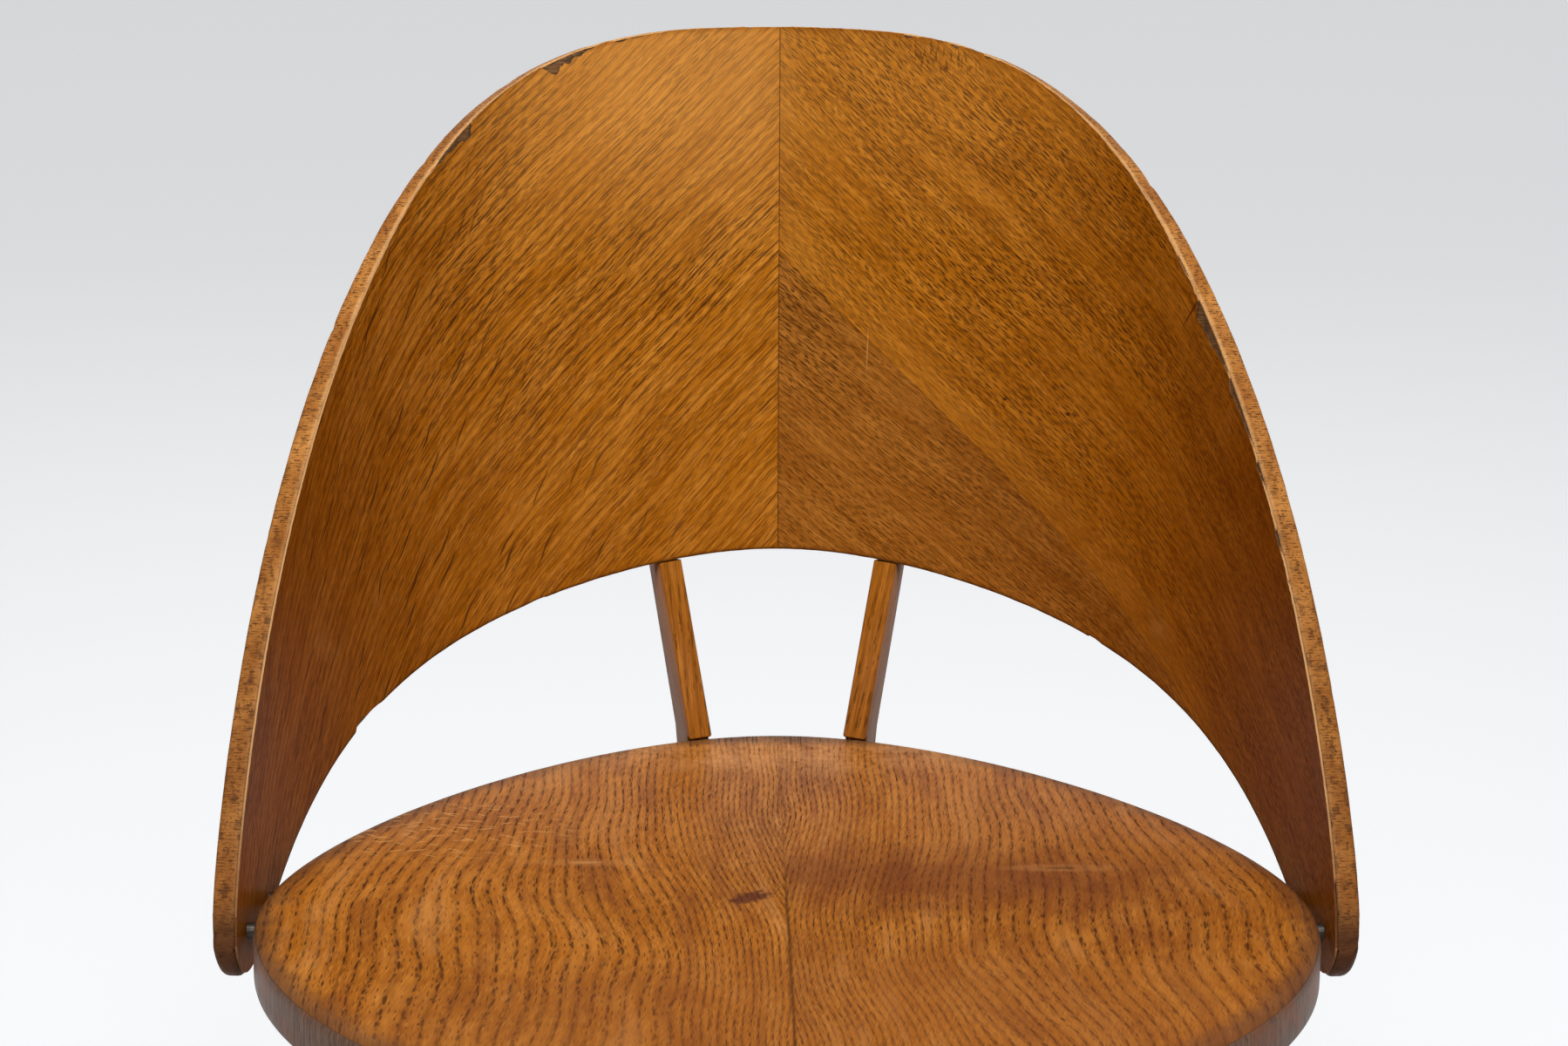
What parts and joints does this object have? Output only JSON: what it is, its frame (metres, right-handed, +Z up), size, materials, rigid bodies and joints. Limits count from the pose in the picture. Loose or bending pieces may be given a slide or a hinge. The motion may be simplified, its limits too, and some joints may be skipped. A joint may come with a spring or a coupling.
{
  "type": "dining chair",
  "caption": "Plywood dining chair with a bent arched back that wraps round a rounded oak seat, held by two short posts, on splayed tapered legs.",
  "frame": {"origin": "on the floor, under the middle of the chair's box", "axes": "+Z up; the chair faces -Y, so a viewer in front sees +X on the right"},
  "size_m": [0.4806, 0.5216, 0.7736],
  "materials": {
    "oak_veneer": "satin oiled oak face veneer, worn",
    "oak_plywood": "satin varnished plywood with darker edges",
    "oak_solid": "satin varnished solid oak",
    "steel": "plain zinc-plated steel",
    "brass": "dull brass",
    "nylon": "dark matt nylon"
  },
  "bodies": {
    "root": {"back_panel": "oak_plywood", "back_post_left": "oak_solid", "back_post_right": "oak_solid", "back_veneer_left": "oak_veneer", "back_veneer_right_lower": "oak_veneer", "back_veneer_right_upper": "oak_veneer", "barrel_nut_front_left": "steel", "barrel_nut_front_right": "steel", "barrel_nut_rear_left": "steel", "barrel_nut_rear_right": "steel", "cross_rail_a": "oak_solid", "cross_rail_b": "oak_solid", "glide_front_left": "nylon", "glide_front_right": "nylon", "glide_rear_left": "nylon", "glide_rear_right": "nylon", "leg_bolt_front_left": "steel", "leg_bolt_front_right": "steel", "leg_bolt_rear_left": "steel", "leg_bolt_rear_right": "steel", "leg_front_left": "oak_solid", "leg_front_right": "oak_solid", "leg_rear_left": "oak_solid", "leg_rear_right": "oak_solid", "post_back_screw_left": "brass", "post_back_screw_right": "brass", "post_seat_screw_left": "brass", "post_seat_screw_right": "brass", "seat_panel": "oak_plywood", "seat_screw_a_1": "steel", "seat_screw_a_2": "steel", "seat_screw_b_1": "steel", "seat_screw_b_2": "steel", "seat_veneer_left": "oak_veneer", "seat_veneer_right": "oak_veneer", "tip_screw_left_1": "steel", "tip_screw_left_2": "steel", "tip_screw_right_1": "steel", "tip_screw_right_2": "steel", "tip_spacer_left_1": "steel", "tip_spacer_left_2": "steel", "tip_spacer_right_1": "steel", "tip_spacer_right_2": "steel"}
  },
  "joints": []
}
